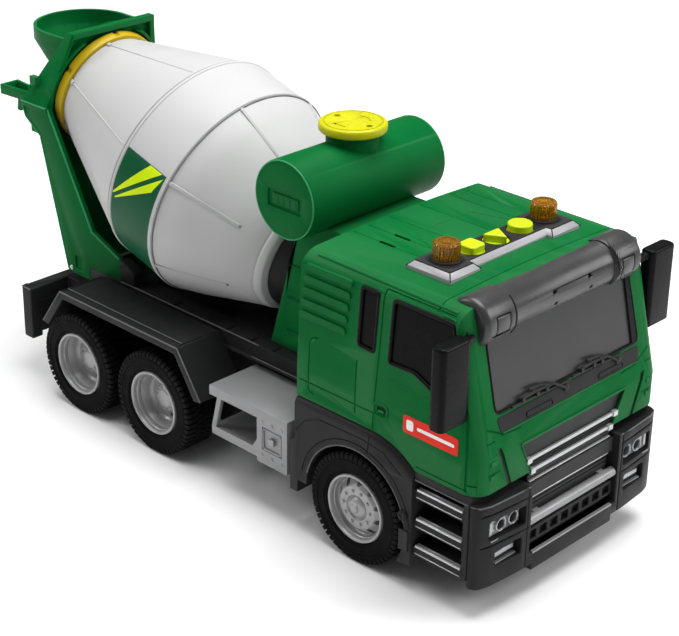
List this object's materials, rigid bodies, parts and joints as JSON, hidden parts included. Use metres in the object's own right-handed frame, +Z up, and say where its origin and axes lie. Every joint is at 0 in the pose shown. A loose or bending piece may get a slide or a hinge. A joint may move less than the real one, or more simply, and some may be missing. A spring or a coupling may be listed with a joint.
{
  "type": "toy cement mixer truck",
  "caption": "Toy cement mixer truck with a turning tilted drum, rolling wheels on a friction motor, roof buttons, a twisting tank cap and a swinging chute.",
  "frame": {"origin": "on the ground under the middle of the truck's length and width", "axes": "+X towards the front of the truck, +Y towards the truck's left, +Z up"},
  "size_m": [0.42, 0.164, 0.1917],
  "materials": {
    "green_plastic": "satin moulded plastic",
    "black_plastic": "fine-grained satin plastic",
    "dark_grey_plastic": "satin plastic",
    "silver_plastic": "silver-pigmented plastic",
    "smoked_glazing": "smoked translucent plastic",
    "lamp_lens": "silver-backed lamp face",
    "amber_lens": "translucent amber plastic",
    "clear_lens": "clear bulb",
    "yellow_green_button": "translucent yellow-green plastic",
    "yellow_plastic": "glossy yellow plastic",
    "gold_plastic": "golden yellow plastic",
    "drum_plastic": "light grey satin plastic",
    "tyre_rubber": "soft black rubber",
    "steel": "plain steel",
    "gear_plastic": "natural white plastic",
    "circuit_board": "green lacquer",
    "battery_wrap": "printed sleeve, plain",
    "speaker_card": "black card and steel"
  },
  "bodies": {
    "chassis": {"cab_shell": "green_plastic", "drum_pedestal": "green_plastic", "water_tank": "green_plastic", "rear_frame": "green_plastic", "hopper": "green_plastic", "chute_bracket": "green_plastic", "deck": "black_plastic", "chassis_tray": "black_plastic", "rear_bumper": "black_plastic", "rear_fenders": "black_plastic", "front_mudguards": "black_plastic", "entry_steps": "black_plastic", "front_bumper": "black_plastic", "battery_door": "black_plastic", "mirrors": "black_plastic", "wipers": "black_plastic", "grille_panel": "black_plastic", "drum_bearing_plate": "black_plastic", "visor": "dark_grey_plastic", "light_bar": "dark_grey_plastic", "side_lockers": "silver_plastic", "bumper_tube": "silver_plastic", "step_treads": "silver_plastic", "grille_bars": "silver_plastic", "windscreen": "smoked_glazing", "side_windows": "smoked_glazing", "bumper_lamps": "lamp_lens", "beacons": "amber_lens", "beacon_bulbs": "clear_lens", "screws": "steel", "battery_contacts": "steel", "motor_housing": "gear_plastic", "battery_cage": "gear_plastic", "sound_board": "circuit_board", "batteries": "battery_wrap", "speaker": "speaker_card"},
    "rear_wheels": {"rear_axle": "steel", "rear_rims": "silver_plastic", "rear_tyres": "tyre_rubber", "drive_gear": "gear_plastic"},
    "middle_wheels": {"middle_axle": "steel", "middle_rims": "silver_plastic", "middle_tyres": "tyre_rubber"},
    "front_wheels": {"front_axle": "steel", "front_rims": "silver_plastic", "front_tyres": "tyre_rubber"},
    "drum": {"drum_rear_cone": "drum_plastic", "drum_belt": "drum_plastic", "drum_front_cone": "drum_plastic", "drum_mouth_ring": "gold_plastic", "drum_shaft": "steel"},
    "button_square": {"button_square": "yellow_green_button"},
    "button_triangle": {"button_triangle": "yellow_green_button"},
    "button_round": {"button_round": "yellow_green_button"},
    "tank_cap": {"tank_cap": "yellow_plastic"},
    "chute": {"chute": "green_plastic"},
    "idler": {"idler_gear": "gear_plastic"},
    "flywheel": {"flywheel": "steel"}
  },
  "joints": [
    {"name": "rear_wheels_spin", "type": "hinge", "parent": "chassis", "child": "rear_wheels", "pos_m": [-0.0686, 0, 0.028], "axis": [0, 1, 0], "continuous": true},
    {"name": "middle_wheels_spin", "type": "hinge", "parent": "chassis", "child": "middle_wheels", "pos_m": [-0.0076, 0, 0.028], "axis": [0, 1, 0], "continuous": true},
    {"name": "front_wheels_spin", "type": "hinge", "parent": "chassis", "child": "front_wheels", "pos_m": [0.135, 0, 0.028], "axis": [0, 1, 0], "continuous": true},
    {"name": "drum_spin", "type": "hinge", "parent": "chassis", "child": "drum", "pos_m": [0.01, 0, 0.1153], "axis": [0.9565, 0, -0.2917], "continuous": true},
    {"name": "button_square_press", "type": "slide", "parent": "chassis", "child": "button_square", "axis": [0, 0, -1], "range_m": [0, 0.0015], "stiffness_N_per_m": 400},
    {"name": "button_triangle_press", "type": "slide", "parent": "chassis", "child": "button_triangle", "axis": [0, 0, -1], "range_m": [0, 0.0015], "stiffness_N_per_m": 400},
    {"name": "button_round_press", "type": "slide", "parent": "chassis", "child": "button_round", "axis": [0, 0, -1], "range_m": [0, 0.0015], "stiffness_N_per_m": 400},
    {"name": "tank_cap_twist", "type": "hinge", "parent": "chassis", "child": "tank_cap", "pos_m": [0.066, 0, 0.178], "axis": [0, 0, 1], "range_deg": [0, 90]},
    {"name": "chute_swing", "type": "hinge", "parent": "chassis", "child": "chute", "pos_m": [-0.176, 0, 0.138], "axis": [0, 0, 1], "range_deg": [-60, 60]},
    {"name": "idler_spin", "type": "hinge", "parent": "chassis", "child": "idler", "pos_m": [-0.0526, 0, 0.028], "axis": [0, 1, 0], "continuous": true},
    {"name": "flywheel_spin", "type": "hinge", "parent": "chassis", "child": "flywheel", "pos_m": [-0.0366, 0, 0.028], "axis": [0, 1, 0], "continuous": true}
  ],
  "couplings": [
    {"joint": "idler_spin", "follows": "rear_wheels_spin", "ratio": -3},
    {"joint": "flywheel_spin", "follows": "rear_wheels_spin", "ratio": 9}
  ]
}
